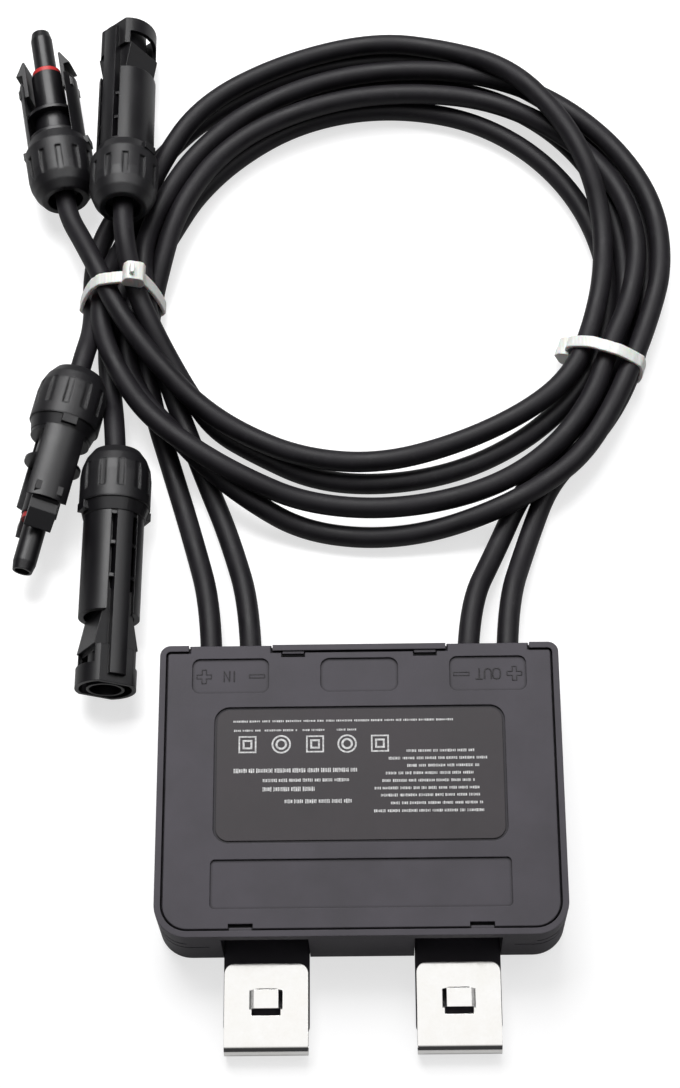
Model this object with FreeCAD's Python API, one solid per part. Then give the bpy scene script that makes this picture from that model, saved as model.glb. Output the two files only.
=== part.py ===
# Solar power optimizer with two spring clips, four leads and four panel connectors
# Millimetres; X right, +Y towards the leads, +Z up; the case lies on its flat underside at Z = 0
import FreeCAD, Part
import math
import os

V = FreeCAD.Vector
os.makedirs("parts", exist_ok=True)

# Case
CASE_W = 104.0
CASE_L = 78.0
CASE_H = 20.4
CASE_FRONT = -26.75
FRONT_CORNER_R = 8.5
BACK_CORNER_R = 2.8
WALL = 3.0
FLOOR = 2.2
RIM = 1.6
GROOVE_Z = (13.6, 10.4)
GROOVE_SPAN = (44.0, 38.5)
GROOVE_SIDE_Y = (-2.0, 10.0)
GROOVE_H = 0.5
GROOVE_DEPTH = 0.35

# Lid
LID_T = 1.9
LID_SINK = 0.3
LID_GAP = 0.3
LID_EDGE = 0.35
FLANGE_IN = 22.6
FLANGE_OUT = 44.5
GASKET_IN = 2.0
GASKET_W = 0.8
GASKET_H = 0.8

# Recessed fields in the lid: centre x, centre y, width, length, corner radius
FIELD_DEPTH = 0.5
PORT_FIELD_X = 33.5
PORT_FIELD_Y = 42.8
PORT_FIELD = (20.0, 9.6, 2.0)
MID_FIELD = (20.2, 9.4, 2.4)
LABEL_FIELD_Y = 15.8
LABEL_FIELD = (75.0, 36.6, 4.0)
LONG_FIELD_Y = -13.1
LONG_FIELD = (76.0, 12.8, 1.2)
LABEL_MARGIN = 0.7
LABEL_T = 0.3

# Snap windows in the lid edge: centre x, width along x, depth along y
FRONT_SNAP_X = 30.2
BACK_SNAP_X = 17.2
SNAP_W = 6.2
SNAP_DEPTH = 1.5
SNAP_NOSE = 0.8
SNAP_NOSE_T = 1.0

# Clips, the tongues they close on and the pockets behind them
CLIP_X = 24.3
CLIP_W = 21.2
CLIP_T = 0.8
CLIP_REACH = 26.0
CLIP_LOW_Z = 0.6
CLIP_TOP_Z = 6.2
CLIP_MOUTH = 3.2
CLIP_TAIL = 15.0
CLIP_CORNER_R = 2.6
TONGUE_W = 21.8
TONGUE_T = 1.8
TONGUE_REACH = 20.4
TONGUE_CORNER_R = 2.0
POCKET_W = 22.0
POCKET_DEPTH = 8.0
POCKET_TOP = 17.4
POCKET_WALL = 2.0
GUSSET_X = 5.3
GUSSET_T = 1.2
GUSSET_L = 4.5
GUSSET_H = 6.0
STAKE_R = 1.5
STAKE_HEAD_R = 2.9
STAKE_BACK = 12.0
BRIDGE_W = 7.3
BRIDGE_L = 6.9
BRIDGE_BACK = 6.4
BRIDGE_STRAP = 4.8
BRIDGE_RISE = 1.1
BRIDGE_RAMP = 1.1

# Leads
CABLE_D = 5.8
CABLE_INSET = (13.0, 23.5)
CABLE_Z = 10.2
GROMMET_R = 4.3
GROMMET_FLANGE_R = 5.0
GROMMET_FLANGE_T = 1.5

# Circuit board and what stands on it
BOARD_GAP = 2.0
BOARD_FRONT = -13.5
BOARD_BACK = 45.0
BOARD_T = 1.6
BOARD_Z = 5.0
BOARD_CORNER_R = 1.5
BOSS_R = 3.0
BOSS_INSET = 9.0
BOSS_FRONT_INSET = 4.5
BOSS_BACK_INSET = 14.0
SCREW_R = 1.25
SCREW_HEAD_R = 2.6
SCREW_HEAD_H = 1.7
SCREW_L = 4.4
SPREADER = (62.0, 34.0, 1.5)
SPREADER_Y = 12.0
COIL_L = 19.0
COIL_ROOM = 2.1
COIL_FROM_MIDDLE = 4.5
COIL_TO_CAN = 2.0
COIL_Y = 22.0
COIL_WIRE = (3.2, 6.0, 1.2)
CAN_R = 4.0
CAN_ROOM = 1.6
CAN_EDGE = 0.5
CAN_INSET = (13.0, 22.5)
CAN_Y = 23.0
SWITCH = (6.2, 5.2, 1.6)
SWITCH_X = (-21.0, -7.0, 7.0, 21.0)
SWITCH_Y = 5.0
SWITCH_TAB = 1.6
CHIP = (9.0, 9.0, 1.2)
CHIP_Y = -5.0
LUG = (8.6, 7.5, 7.4)
LUG_BACK = 44.5
LUG_BORE_L = 5.0

# Panel connectors, sizes along their own axis from the cable end
NUT_L = 16.3
NUT_R = 9.8
NUT_DOME = ((0.0, 6.7), (2.4, 8.4), (5.2, 9.45), (8.0, NUT_R))
NUT_MOUTH_R = 5.1
NUT_MOUTH_L = 2.6
NUT_BORE_R = 7.6
FLUTES = 12
FLUTE_W = 1.6
FLUTE_FROM = 5.0
FLUTE_TO = 13.0
FLUTE_DEPTH = 0.55
SPIGOT_FROM = 6.0
SPIGOT_R = 7.4
COLLAR_L = 3.4
COLLAR_R = 9.4
EAR_R = 10.0
EAR_W = 4.2
SEAL_R = 5.2
SEAL_FROM = 4.0
SEAL_TO = 15.0
SHELL_T = 1.5
SLOT_W = 1.5
SPINE_W = 4.6
RIB_T = 1.0
CORE_R = 5.6

SHROUD_L = 68.5
SHROUD_R = 8.3
SHROUD_SHELL_TO = 48.4
SHROUD_CORE_TO = 43.0
SHROUD_NECK = (8.8, 12.8, 11.4)
SHROUD_END_FROM = 58.2
SHROUD_END_R = 8.2
SHROUD_END_H = 13.4
SHROUD_WINDOW = (5.0, 11.2)
SPINE_BACK = 2.2
SHROUD_MOUTH_GAP = 0.15
SHROUD_MOUTH_WALL = 0.75
SHROUD_MOUTH_L = 20.0
LATCH_WALL = 1.1
SHROUD_RIBS = (28.5, 38.0)
PIN_R = 1.9
PIN_TO = 60.0

NOSE_L = 60.5
NOSE_BODY_R = 8.6
NOSE_SHELL_TO = 40.8
NOSE_CORE_TO = 44.0
NOSE_CORE_R = 4.65
NOSE_OPENING = 12.8
NOSE_TIP_R = 2.7
NOSE_TIP_L = 2.5
NOSE_TUBE_R = 3.2
NOSE_BORE_R = 2.1
NOSE_RIBS = (28.0,)
ARM_W = 7.6
ARM_IN = 5.3
ARM_T = 1.2
ARM_TO = 49.4
ARM_BARB_R = 8.4
ARM_BARB_L = 4.5
RING_W = 1.7
RING_R = 4.2
SOCKET_R = 2.1
SOCKET_HOLE_R = 1.4
SOCKET_HOLE_L = 12.0
SOCKET_SINK = 2.0

# Where each connector lies: cable end x, y, z, heading from +Y towards +X, dip, roll about its axis
NOSE_IN = (-83.9, 194.4, 10.4, -9.8, 2.3, -12.0)
SHROUD_IN = (-66.0, 185.2, 20.4, -1.2, 10.3, -37.0)
NOSE_OUT = (-77.9, 136.8, 10.6, -167.4, 1.0, 70.0)
SHROUD_OUT = (-66.3, 112.2, 10.3, -179.0, 1.6, -30.0)
CABLE_IN_PLUG = 13.0
PLUG_LEAD_OUT = 4.0

# Ring of cable between the two ties: outside and inside outlines, then its thickness
RING_OUTSIDE = (
    (-78.5, 178), (-62, 219), (-29, 246), (6, 258), (38, 254), (71, 231), (91, 202),
    (90, 165), (76, 127), (55, 98), (12, 83), (-32, 93), (-66, 123), (-79, 150),
)
RING_INSIDE = (
    (-52, 178), (-36, 210), (-5, 227), (29, 226), (57, 208), (69, 180), (63, 140),
    (34, 119), (0, 110), (-32, 120), (-52, 145),
)
RING_H = 12.0
RING_EDGE = 1.8
HUMP_W = 17.0
HUMP_Y = (-22.0, -9.0, 9.0, 17.0)
HUMP_TURN = 21.0
PLUG_ROOM = 0.4

# Cable ties: middle x, middle y, width and top of the bundle, turn about Z
TIE_T = 1.2
TIE_W = 2.9
TIE_R = 4.4
TIE_LEFT = (-66.7, 162.6, 24.2, 18.3, -2.0)
TIE_RIGHT = (71.2, 140.9, 20.2, 12.6, -16.0)
TIE_HEAD = (6.2, 6.4, 4.4)
TIE_HEAD_FROM = 0.5
TIE_TAIL = 1.2

# Routes of the leads, each by its side, its cable hole and its points, and of the plug tails
LEAD_OUT_Y = 64.0
LEAD_ROUTES = {
    "lead_in_plus": (-1, 0, ((-45.6, 90.0, 3.1), (-52.2, 113.5, 3.0))),
    "lead_in_minus": (-1, 1, ((-35.4, 89.8, 3.1), (-42.0, 106.0, 3.0))),
    "lead_out_minus": (1, 1, ((38.0, 86.0, 3.1), (44.5, 101.0, 3.0))),
    "lead_out_plus": (1, 0, ((46.2, 87.5, 3.1), (52.8, 105.0, 3.0))),
}
TAIL_ENDS = {
    "tail_in_nose": (NOSE_IN, (-74.4, 169.5, 12.8)),
    "tail_in_shroud": (SHROUD_IN, (-63.4, 164.6, 15.5)),
    "tail_out_nose": (NOSE_OUT, (-74.6, 157.0, 7.0)),
    "tail_out_shroud": (SHROUD_OUT, (-67.4, 136.6, 3.6)),
}

# Sizes worked out from those above
CASE_BACK = CASE_FRONT + CASE_L
LID_TOP = CASE_H - LID_SINK
LEDGE_Z = LID_TOP - LID_T
LID_INSET = RIM + LID_GAP
TONGUE_LOW = CLIP_LOW_Z + CLIP_T
TONGUE_TOP = TONGUE_LOW + TONGUE_T
BOARD_TOP = BOARD_Z + BOARD_T
BOARD_W = CASE_W - 2 * (WALL + BOARD_GAP)
BOSS_X = CASE_W / 2 - BOSS_INSET
CABLE_R = CABLE_D / 2
CABLE_X = tuple(CASE_W / 2 - inset for inset in CABLE_INSET)
CAN_X = tuple(CASE_W / 2 - inset for inset in CAN_INSET)
COIL_W = min(CAN_X) - CAN_R - COIL_TO_CAN - COIL_FROM_MIDDLE
COIL_X = COIL_FROM_MIDDLE + COIL_W / 2
SHROUD_MOUTH_R = RING_R + SHROUD_MOUTH_GAP
PLUGS = {"in_nose": NOSE_IN, "in_shroud": SHROUD_IN, "out_nose": NOSE_OUT, "out_shroud": SHROUD_OUT}
BOSS_Y = (BOARD_FRONT + BOSS_FRONT_INSET, BOARD_BACK - BOSS_BACK_INSET)
COLLAR_FROM = NUT_L
BODY_FROM = NUT_L + COLLAR_L
PLUG_HOLE_TO = CABLE_IN_PLUG + 4.0


def box(x0, x1, y0, y1, z0, z1):
    return Part.makeBox(x1 - x0, y1 - y0, z1 - z0, V(x0, y0, z0))


def cylinder(radius, start, end):
    along = end - start
    return Part.makeCylinder(radius, along.Length, start, along)


def joined(shapes):
    first = shapes[0]
    if len(shapes) == 1:
        return first
    return first.fuse(list(shapes[1:])).removeSplitter()


def save(name, shape):
    shape.exportStep("parts/%s.step" % name)
    print(name, len(shape.Solids), "solids", round(shape.Volume, 1), "mm3", shape.isValid())


def rounded_outline(x0, x1, y0, y1, radii, z):
    # Rectangle with its own radius at front left, front right, back right and back left
    corners = ((x0, y0), (x1, y0), (x1, y1), (x0, y1))
    inward = ((1, 1), (-1, 1), (-1, -1), (1, -1))
    edges = []
    last = None
    first = None
    for (x, y), (dx, dy), r, k in zip(corners, inward, radii, range(4)):
        cx, cy = x + dx * r, y + dy * r
        a0 = math.radians(180 + 90 * k)
        start, mid, end = (
            V(cx + r * math.cos(a), cy + r * math.sin(a), z)
            for a in (a0, a0 + math.pi / 4, a0 + math.pi / 2)
        )
        if last is None:
            first = start
        else:
            edges.append(Part.LineSegment(last, start).toShape())
        edges.append(Part.Arc(start, mid, end).toShape())
        last = end
    edges.append(Part.LineSegment(last, first).toShape())
    return Part.Wire(edges)


def rounded_block(x0, x1, y0, y1, z0, z1, radii):
    if not isinstance(radii, tuple):
        radii = (radii,) * 4
    face = Part.Face(rounded_outline(x0, x1, y0, y1, radii, z0))
    return face.extrude(V(0, 0, z1 - z0))


def case_block(inset, z0, z1):
    # The case outline moved inwards by inset, between two heights
    front = max(FRONT_CORNER_R - inset, 0.6)
    back = max(BACK_CORNER_R - inset, 0.6)
    half = CASE_W / 2 - inset
    return rounded_block(-half, half, CASE_FRONT + inset, CASE_BACK - inset, z0, z1,
                         (front, front, back, back))


def field_block(x, y, field, z0, z1, margin=0.0):
    width, length, radius = field
    half_w, half_l = width / 2 - margin, length / 2 - margin
    return rounded_block(x - half_w, x + half_w, y - half_l, y + half_l, z0, z1, radius - margin)


def both_sides(shape):
    return [shape, shape.mirror(V(0, 0, 0), V(1, 0, 0))]


# Case tub: walls, rim, board bosses, clip pockets, tongues and cable holes


def snap_block(front, z0, z1, margin, depth):
    # A box at one snap window, grown by margin along x, reaching depth inwards from the lid's edge
    x = FRONT_SNAP_X if front else BACK_SNAP_X
    half = SNAP_W / 2 + margin
    if front:
        edge = CASE_FRONT + RIM
        return box(x - half, x + half, edge, edge + depth, z0, z1)
    edge = CASE_BACK - RIM
    return box(x - half, x + half, edge - depth, edge, z0, z1)


def corner_grooves():
    cuts = []
    for z, span, side_y in zip(GROOVE_Z, GROOVE_SPAN, GROOVE_SIDE_Y):
        ring = case_block(-1.0, z, z + GROOVE_H).cut(case_block(GROOVE_DEPTH, z, z + GROOVE_H))
        reach = box(span, CASE_W, CASE_FRONT - 2, side_y, z, z + GROOVE_H)
        cuts += both_sides(ring.common(reach))
    return cuts


def tongue():
    front = CASE_FRONT - TONGUE_REACH
    r = TONGUE_CORNER_R
    return rounded_block(CLIP_X - TONGUE_W / 2, CLIP_X + TONGUE_W / 2, front,
                         CASE_FRONT + POCKET_DEPTH, TONGUE_LOW, TONGUE_TOP, (r, r, 0.2, 0.2))


def gusset(x):
    back = CASE_FRONT + POCKET_DEPTH
    corners = [V(x, back, TONGUE_TOP), V(x, back - GUSSET_L, TONGUE_TOP),
               V(x, back, TONGUE_TOP + GUSSET_H)]
    face = Part.Face(Part.makePolygon(corners + corners[:1]))
    return face.extrude(V(GUSSET_T, 0, 0))


def clip_stake():
    y = CASE_FRONT + STAKE_BACK
    pin = cylinder(STAKE_R, V(CLIP_X, y, CLIP_LOW_Z), V(CLIP_X, y, TONGUE_LOW))
    head = Part.makeCone(STAKE_HEAD_R - 0.5, STAKE_HEAD_R, CLIP_LOW_Z, V(CLIP_X, y, 0))
    return pin.fuse(head)


def case_tub():
    tub = case_block(0, 0, CASE_H)
    tub = tub.cut(case_block(WALL, FLOOR, CASE_H))
    tub = tub.cut(case_block(RIM, LEDGE_Z, CASE_H))
    pocket_half = POCKET_W / 2
    back = CASE_FRONT + POCKET_DEPTH
    housing = box(CLIP_X - pocket_half - POCKET_WALL, CLIP_X + pocket_half + POCKET_WALL,
                  CASE_FRONT + WALL - 1, back + POCKET_WALL, FLOOR - 1, LEDGE_Z)
    pocket = box(CLIP_X - pocket_half, CLIP_X + pocket_half, CASE_FRONT - 1, back, -1, POCKET_TOP)
    leaf_bed = box(CLIP_X - CLIP_W / 2 - 0.3, CLIP_X + CLIP_W / 2 + 0.3, CASE_FRONT - 1,
                   CASE_FRONT + CLIP_TAIL + 0.3, -1, TONGUE_LOW)
    flange_gap = box(FLANGE_IN, FLANGE_OUT, CASE_BACK - WALL, CASE_BACK + 1, LEDGE_Z, CASE_H + 1)
    bosses = []
    for y in BOSS_Y:
        boss = cylinder(BOSS_R, V(BOSS_X, y, FLOOR - 1), V(BOSS_X, y, BOARD_Z))
        bosses.append(boss.cut(cylinder(SCREW_R, V(BOSS_X, y, FLOOR), V(BOSS_X, y, BOARD_Z))))
    for shape in both_sides(housing):
        tub = tub.fuse(shape)
    for shape in both_sides(pocket) + both_sides(leaf_bed) + both_sides(flange_gap):
        tub = tub.cut(shape)
    gussets = [gusset(CLIP_X + s * GUSSET_X - GUSSET_T / 2) for s in (-1, 1)]
    noses = []
    for front in (True, False):
        low = LEDGE_Z + GASKET_H
        noses.append(snap_block(front, low, low + SNAP_NOSE_T, -LID_GAP, SNAP_NOSE))
    for shape in [tongue(), clip_stake()] + gussets + bosses + noses:
        for one in both_sides(shape):
            tub = tub.fuse(one)
    for x in CABLE_X:
        hole = cylinder(GROMMET_R, V(x, CASE_BACK - WALL - 1, CABLE_Z), V(x, CASE_BACK + 1, CABLE_Z))
        for one in both_sides(hole):
            tub = tub.cut(one)
    for groove in corner_grooves():
        tub = tub.cut(groove)
    return tub.removeSplitter()


# Lid with its recessed fields, rear flanges and snap windows


def lid_outline(z0, z1):
    body = case_block(LID_INSET, z0, z1)
    gap = LID_GAP
    flange = box(FLANGE_IN + gap, FLANGE_OUT - gap, CASE_BACK - 2 * WALL, CASE_BACK, z0, z1)
    return joined([body] + both_sides(flange))


def gasket_ring(grow=0.0):
    outer = case_block(GASKET_IN - grow, LEDGE_Z, LEDGE_Z + GASKET_H)
    return outer.cut(case_block(GASKET_IN + GASKET_W + grow, LEDGE_Z, LEDGE_Z + GASKET_H))


def case_lid():
    lid = lid_outline(LEDGE_Z, LID_TOP)
    top = [e for e in lid.Edges if min(v.Z for v in e.Vertexes) > LID_TOP - 1e-6]
    lid = lid.makeChamfer(LID_EDGE, top)
    floor = LID_TOP - FIELD_DEPTH
    fields = both_sides(field_block(PORT_FIELD_X, PORT_FIELD_Y, PORT_FIELD, floor, CASE_H))
    fields.append(field_block(0, PORT_FIELD_Y, MID_FIELD, floor, CASE_H))
    fields.append(field_block(0, LABEL_FIELD_Y, LABEL_FIELD, floor, CASE_H))
    fields.append(field_block(0, LONG_FIELD_Y, LONG_FIELD, floor, CASE_H))
    for front in (True, False):
        fields += both_sides(snap_block(front, LEDGE_Z - 1, CASE_H, 0.0, SNAP_DEPTH + LID_GAP))
    for shape in fields:
        lid = lid.cut(shape)
    return lid.cut(gasket_ring())


def label_plate():
    floor = LID_TOP - FIELD_DEPTH
    return field_block(0, LABEL_FIELD_Y, LABEL_FIELD, floor, floor + LABEL_T, LABEL_MARGIN)


# Spring clip folded from one strip, with a raised bridge in its upper leaf


def clip():
    r = (CLIP_TOP_Z - CLIP_LOW_Z) / 2
    zc = CLIP_LOW_Z + r
    bend_y = CASE_FRONT - CLIP_REACH + r
    tail_y = CASE_FRONT + CLIP_TAIL
    mouth_y = CASE_FRONT - CLIP_MOUTH
    x0 = CLIP_X - CLIP_W / 2
    ri = r - CLIP_T

    def p(y, z):
        return V(x0, y, z)

    edges = [
        Part.LineSegment(p(tail_y, CLIP_LOW_Z), p(bend_y, CLIP_LOW_Z)),
        Part.Arc(p(bend_y, CLIP_LOW_Z), p(bend_y - r, zc), p(bend_y, CLIP_TOP_Z)),
        Part.LineSegment(p(bend_y, CLIP_TOP_Z), p(mouth_y, CLIP_TOP_Z)),
        Part.LineSegment(p(mouth_y, CLIP_TOP_Z), p(mouth_y, CLIP_TOP_Z - CLIP_T)),
        Part.LineSegment(p(mouth_y, CLIP_TOP_Z - CLIP_T), p(bend_y, CLIP_TOP_Z - CLIP_T)),
        Part.Arc(p(bend_y, CLIP_TOP_Z - CLIP_T), p(bend_y - ri, zc), p(bend_y, TONGUE_LOW)),
        Part.LineSegment(p(bend_y, TONGUE_LOW), p(tail_y, TONGUE_LOW)),
        Part.LineSegment(p(tail_y, TONGUE_LOW), p(tail_y, CLIP_LOW_Z)),
    ]
    strip = Part.Face(Part.Wire([e.toShape() for e in edges])).extrude(V(CLIP_W, 0, 0))
    corner = CLIP_CORNER_R
    leaf_shape = rounded_block(x0, x0 + CLIP_W, bend_y - 2 * r, mouth_y, zc, CASE_H,
                               (0.2, 0.2, corner, corner))
    below = box(x0, x0 + CLIP_W, bend_y - 2 * r, tail_y, 0, zc)
    strip = strip.common(leaf_shape.fuse(below))
    y = CASE_FRONT + STAKE_BACK
    strip = strip.cut(cylinder(STAKE_R, V(CLIP_X, y, 0), V(CLIP_X, y, zc)))
    back = mouth_y - BRIDGE_BACK
    window = rounded_block(CLIP_X - BRIDGE_W / 2, CLIP_X + BRIDGE_W / 2, back - BRIDGE_L, back,
                           zc, CASE_H, (0.3, 0.3, 1.6, 1.6))
    return strip.cut(window).fuse(bridge(back)).removeSplitter()


def bridge(back):
    # Strap pressed up from the leaf, still held at its left and right ends
    low, top = CLIP_TOP_Z - CLIP_T, CLIP_TOP_Z
    foot = BRIDGE_W / 2 + BRIDGE_RAMP / 2
    crown = BRIDGE_W / 2 - BRIDGE_RAMP / 2
    inner = crown - CLIP_T / 2
    side = [(foot, low), (foot, top), (crown, top + BRIDGE_RISE)]
    under = [(-inner, low + BRIDGE_RISE), (inner, low + BRIDGE_RISE)]
    outline = side + [(-x, z) for x, z in reversed(side)]
    outline += [(-foot + CLIP_T, low), under[0], under[1], (foot - CLIP_T, low)]
    start = back - 0.5 - BRIDGE_STRAP
    points = [V(CLIP_X + x, start, z) for x, z in outline]
    strap = Part.Face(Part.makePolygon(points + points[:1])).extrude(V(0, BRIDGE_STRAP, 0))
    return strap


# Board, its parts and the terminals that hold the leads


def under_lid(room):
    # Height of a part that stands on the board and leaves this room below the lid
    return LEDGE_Z - BOARD_TOP - room


def on_board(size, x, y, radius=0.4):
    w, l, h = size
    return rounded_block(x - w / 2, x + w / 2, y - l / 2, y + l / 2, BOARD_TOP, BOARD_TOP + h, radius)


def circuit_board():
    board = rounded_block(-BOARD_W / 2, BOARD_W / 2, BOARD_FRONT, BOARD_BACK, BOARD_Z, BOARD_TOP,
                          BOARD_CORNER_R)
    for y in BOSS_Y:
        for hole in both_sides(cylinder(SCREW_R, V(BOSS_X, y, BOARD_Z), V(BOSS_X, y, BOARD_TOP))):
            board = board.cut(hole)
    return board


def board_screws():
    screws = []
    for y in BOSS_Y:
        head = cylinder(SCREW_HEAD_R, V(BOSS_X, y, BOARD_TOP), V(BOSS_X, y, BOARD_TOP + SCREW_HEAD_H))
        shank = cylinder(SCREW_R, V(BOSS_X, y, BOARD_TOP - SCREW_L), V(BOSS_X, y, BOARD_TOP))
        slot = box(BOSS_X - 2, BOSS_X + 2, y - 0.35, y + 0.35, BOARD_TOP + SCREW_HEAD_H - 0.8,
                   BOARD_TOP + SCREW_HEAD_H)
        screws += both_sides(head.fuse(shank).removeSplitter().cut(slot))
    return Part.makeCompound(screws)


def heat_spreader():
    w, l, t = SPREADER
    return rounded_block(-w / 2, w / 2, SPREADER_Y - l / 2, SPREADER_Y + l / 2, FLOOR, FLOOR + t, 1.0)


def thermal_pad():
    w, l, t = SPREADER
    return rounded_block(-w / 2 + 1, w / 2 - 1, SPREADER_Y - l / 2 + 1, SPREADER_Y + l / 2 - 1,
                         FLOOR + t, BOARD_Z, 1.0)


def inductor_block(x):
    body = on_board((COIL_W, COIL_L, under_lid(COIL_ROOM)), x, COIL_Y, 2.4)
    wire_w, wire_l, wire_h = COIL_WIRE
    notch = box(x - wire_w, x + wire_w, COIL_Y - COIL_L / 2 - 1, COIL_Y - COIL_L / 2 + wire_h, BOARD_TOP - 1,
                BOARD_TOP + wire_l)
    other = notch.mirror(V(x, COIL_Y, 0), V(0, 1, 0))
    return body.cut(notch).cut(other)


def inductors():
    return Part.makeCompound([inductor_block(x) for x in (-COIL_X, COIL_X)])


def capacitor(x):
    height = under_lid(CAN_ROOM)
    base = V(x, CAN_Y, BOARD_TOP)
    can = cylinder(CAN_R, base, base + V(0, 0, height))
    rim = [e for e in can.Edges if abs(e.BoundBox.ZMax - BOARD_TOP - height) < 1e-6
           and e.BoundBox.ZLength < 1e-6]
    return can.makeChamfer(CAN_EDGE, rim)


def capacitors():
    cans = []
    for x in CAN_X:
        cans += both_sides(capacitor(x))
    return Part.makeCompound(cans)


def power_switches():
    chips = []
    w, l, h = SWITCH
    for x in SWITCH_X:
        body = on_board(SWITCH, x, SWITCH_Y)
        tab = box(x - w / 2 + 0.6, x + w / 2 - 0.6, SWITCH_Y + l / 2 - 0.2,
                  SWITCH_Y + l / 2 + SWITCH_TAB, BOARD_TOP, BOARD_TOP + 0.5)
        chips.append(body.fuse(tab).removeSplitter())
    return Part.makeCompound(chips)


def control_chip():
    return on_board(CHIP, 0, CHIP_Y)


def terminal_lugs():
    lugs = []
    w, l, h = LUG
    for x in CABLE_X:
        block = box(x - w / 2, x + w / 2, LUG_BACK - l, LUG_BACK, BOARD_TOP, BOARD_TOP + h)
        bore = cylinder(CABLE_R, V(x, LUG_BACK - LUG_BORE_L, CABLE_Z), V(x, CASE_BACK, CABLE_Z))
        lugs += both_sides(block.cut(bore))
    return Part.makeCompound(lugs)


def grommet(x):
    def at(y):
        return V(x, y, CABLE_Z)

    inside = CASE_BACK - WALL
    body = joined([
        cylinder(GROMMET_R, at(inside), at(CASE_BACK)),
        cylinder(GROMMET_FLANGE_R, at(CASE_BACK), at(CASE_BACK + GROMMET_FLANGE_T)),
        cylinder(GROMMET_FLANGE_R, at(inside - GROMMET_FLANGE_T), at(inside)),
    ])
    return body.cut(cylinder(CABLE_R, at(LUG_BACK), at(LEAD_OUT_Y)))


# Panel connectors, each built along +X from its cable end and then laid in its place


def laid(shape, place):
    shape = shape.copy()
    shape.Placement = plug_placement(place).multiply(shape.Placement)
    return shape


def plug_placement(place):
    x, y, z, heading, dip, roll = place
    turn = FreeCAD.Rotation(V(0, 0, 1), 90 - heading)
    tilt = FreeCAD.Rotation(V(0, 1, 0), dip)
    spin = FreeCAD.Rotation(V(1, 0, 0), roll)
    return FreeCAD.Placement(V(x, y, z), turn.multiply(tilt).multiply(spin))


def plug_point(place, t):
    return plug_placement(place).multVec(V(t, 0, 0))


def rod(radius, t0, t1):
    return cylinder(radius, V(t0, 0, 0), V(t1, 0, 0))


def bar(t0, t1, half_y, half_z):
    return box(t0, t1, -half_y, half_y, -half_z, half_z)


def flat_rod(radius, half_z, t0, t1):
    # Rod with two flats, half_z from its axis
    return rod(radius, t0, t1).common(bar(t0, t1, radius, half_z))


def cap_nut():
    # Domed outline turned about the axis, then hollowed and fluted
    outline = [V(0, 0, 0)] + [V(t, r, 0) for t, r in NUT_DOME] + [V(NUT_L, NUT_R, 0), V(NUT_L, 0, 0)]
    nut = Part.Face(Part.makePolygon(outline + outline[:1])).revolve(V(0, 0, 0), V(1, 0, 0), 360)
    nut = nut.cut(rod(NUT_MOUTH_R, -1, NUT_MOUTH_L + 1))
    nut = nut.cut(rod(SEAL_R, NUT_MOUTH_L, SPIGOT_FROM))
    nut = nut.cut(rod(NUT_BORE_R, SPIGOT_FROM - 0.2, NUT_L + 1))
    flute = box(FLUTE_FROM, FLUTE_TO, NUT_R - FLUTE_DEPTH, NUT_R + 1, -FLUTE_W / 2, FLUTE_W / 2)
    for k in range(FLUTES):
        one = flute.copy()
        one.rotate(V(0, 0, 0), V(1, 0, 0), (k + 0.5) * 360 / FLUTES)
        nut = nut.cut(one)
    return nut


def plug_seal():
    return rod(SEAL_R, SEAL_FROM, SEAL_TO).cut(rod(CABLE_R, SEAL_FROM - 1, SEAL_TO + 1))


def plug_base(bore_to):
    # Threaded spigot inside the nut, then the collar with its two ratchet ears
    collar = Part.makeCone(COLLAR_R, COLLAR_R - 0.9, COLLAR_L, V(COLLAR_FROM, 0, 0), V(1, 0, 0))
    ears = bar(COLLAR_FROM, COLLAR_FROM + COLLAR_L * 0.7, EAR_R, EAR_W / 2)
    base = joined([rod(SPIGOT_R, SPIGOT_FROM, COLLAR_FROM + 1), collar, ears])
    base = base.cut(rod(SEAL_R, SPIGOT_FROM - 1, SEAL_TO))
    return base.cut(rod(CABLE_R, SEAL_TO - 1, bore_to))


def side_shells(radius, opening, t_end, ribs):
    # Two curved side walls with an opening between them above and below, tied to the core by thin ribs
    ring = rod(radius, BODY_FROM - 0.5, t_end).cut(rod(radius - SHELL_T, BODY_FROM - 1, t_end + 1))
    slot = bar(BODY_FROM - 1, t_end + 1, opening / 2, radius + 1)
    shells = ring.cut(slot)
    webs = []
    for t in ribs:
        disc = rod(radius - 0.7, t, t + RIB_T)
        webs.append(disc.cut(rod(CORE_R * 0.5, t - 1, t + RIB_T + 1)))
    arm_root = rod(radius - 0.3, BODY_FROM - 0.5, BODY_FROM + 1.2)
    return joined([shells] + webs + [arm_root])


def shroud_neck():
    # Wedge that widens from inside the side walls to the end
    inner, outer, height = SHROUD_NECK
    side = [(SHROUD_CORE_TO - 1, inner / 2), (SHROUD_SHELL_TO, inner / 2), (SHROUD_END_FROM, outer / 2)]
    outline = side + [(t, -y) for t, y in reversed(side)]
    points = [V(t, y, -height / 2) for t, y in outline]
    return Part.Face(Part.makePolygon(points + points[:1])).extrude(V(0, 0, height))


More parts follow.
